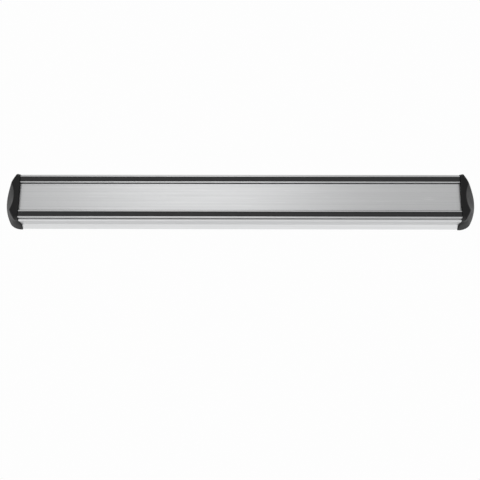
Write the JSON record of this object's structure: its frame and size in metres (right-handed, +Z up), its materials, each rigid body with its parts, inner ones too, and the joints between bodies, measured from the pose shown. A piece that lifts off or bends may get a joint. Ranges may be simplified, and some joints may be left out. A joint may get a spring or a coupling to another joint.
{
  "type": "magnetic knife rack",
  "caption": "Wall-mounted aluminium rail with black magnetic grip strips along its front, for holding knives by their blades, with rounded black end caps that pull off to reach the wall screws.",
  "frame": {"origin": "on the wall plane, midway between the two wall screw holes", "axes": "+X along the rack towards its right end as seen from the front, +Y into the wall, +Z up"},
  "size_m": [0.3798, 0.0195, 0.0454],
  "materials": {
    "brushed_aluminium": "fine brushed along the length, clear anodised",
    "black_vinyl": "satin extruded",
    "black_cap_plastic": "fine moulded texture",
    "bare_steel": "cold drawn",
    "zinc_plated_steel": "zinc plated sheet",
    "screw_steel": "zinc plated",
    "ferrite": "ground, matt"
  },
  "bodies": {
    "rail": {"rail_profile": "brushed_aluminium", "back_plate": "zinc_plated_steel", "back_plate_screws": "screw_steel", "upper_grip_strip": "black_vinyl", "lower_grip_strip": "black_vinyl", "upper_pole_bar": "bare_steel", "lower_pole_bar": "bare_steel", "upper_magnet_1": "ferrite", "upper_magnet_2": "ferrite", "upper_magnet_3": "ferrite", "upper_magnet_4": "ferrite", "upper_magnet_5": "ferrite", "upper_magnet_6": "ferrite", "upper_magnet_7": "ferrite", "lower_magnet_1": "ferrite", "lower_magnet_2": "ferrite", "lower_magnet_3": "ferrite", "lower_magnet_4": "ferrite", "lower_magnet_5": "ferrite", "lower_magnet_6": "ferrite", "lower_magnet_7": "ferrite"},
    "left_cap": {"left_end_cap": "black_cap_plastic"},
    "right_cap": {"right_end_cap": "black_cap_plastic"}
  },
  "joints": [
    {"name": "left_cap_pull", "type": "slide", "parent": "rail", "child": "left_cap", "axis": [-1, 0, 0], "range_m": [0, 0.028]},
    {"name": "right_cap_pull", "type": "slide", "parent": "rail", "child": "right_cap", "axis": [1, 0, 0], "range_m": [0, 0.028]}
  ]
}
